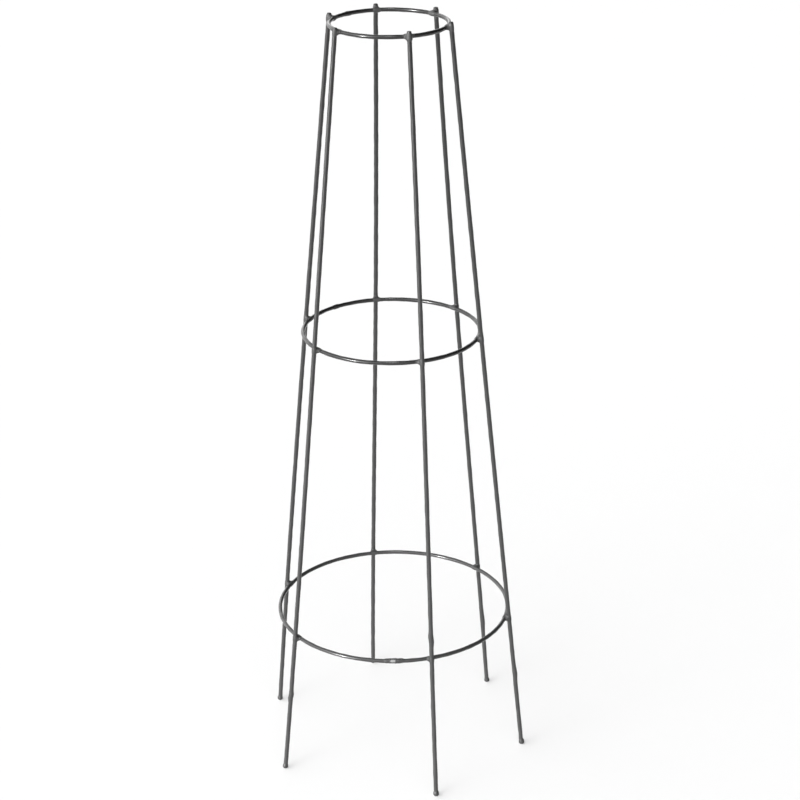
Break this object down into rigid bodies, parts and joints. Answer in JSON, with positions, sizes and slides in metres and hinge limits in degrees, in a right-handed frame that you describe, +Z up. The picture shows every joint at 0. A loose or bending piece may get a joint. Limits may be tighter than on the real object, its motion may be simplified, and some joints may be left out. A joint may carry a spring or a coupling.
{
  "type": "garden obelisk",
  "caption": "Tapering open frame of dark coated steel rods welded to round hoops, for training climbing plants.",
  "frame": {"origin": "on the ground, in the middle of the six feet's bounding box; the rings' axis stands 6.4 mm towards -X and 3.3 mm towards -Y from it, because the legs are unevenly spaced", "axes": "+Z up, parallel to the rings' axis; -Y towards the side that faces the viewer, +X to that viewer's right"},
  "size_m": [0.4151, 0.429, 1.2023],
  "materials": {
    "legs": "dark grey satin coating over drawn steel rod",
    "rings": "dark grey satin coating over drawn steel rod, slightly glossier",
    "welds": "dark grey coating over weld metal, slightly rough",
    "feet": "dark grey matt coating over a bead of weld metal, a little worn"
  },
  "bodies": {
    "root": {"closure_weld_bottom": "welds", "closure_weld_middle": "welds", "closure_weld_top": "welds", "foot_back_centre": "feet", "foot_back_left": "feet", "foot_back_right": "feet", "foot_front_centre": "feet", "foot_front_left": "feet", "foot_front_right": "feet", "leg_back_centre": "legs", "leg_back_left": "legs", "leg_back_right": "legs", "leg_front_centre": "legs", "leg_front_left": "legs", "leg_front_right": "legs", "ring_bottom": "rings", "ring_middle": "rings", "ring_top": "rings", "weld_bottom_back_centre": "welds", "weld_bottom_back_left": "welds", "weld_bottom_back_right": "welds", "weld_bottom_front_centre": "welds", "weld_bottom_front_left": "welds", "weld_bottom_front_right": "welds", "weld_middle_back_centre": "welds", "weld_middle_back_left": "welds", "weld_middle_back_right": "welds", "weld_middle_front_centre": "welds", "weld_middle_front_left": "welds", "weld_middle_front_right": "welds", "weld_top_back_centre": "welds", "weld_top_back_left": "welds", "weld_top_back_right": "welds", "weld_top_front_centre": "welds", "weld_top_front_left": "welds", "weld_top_front_right": "welds"}
  },
  "joints": []
}
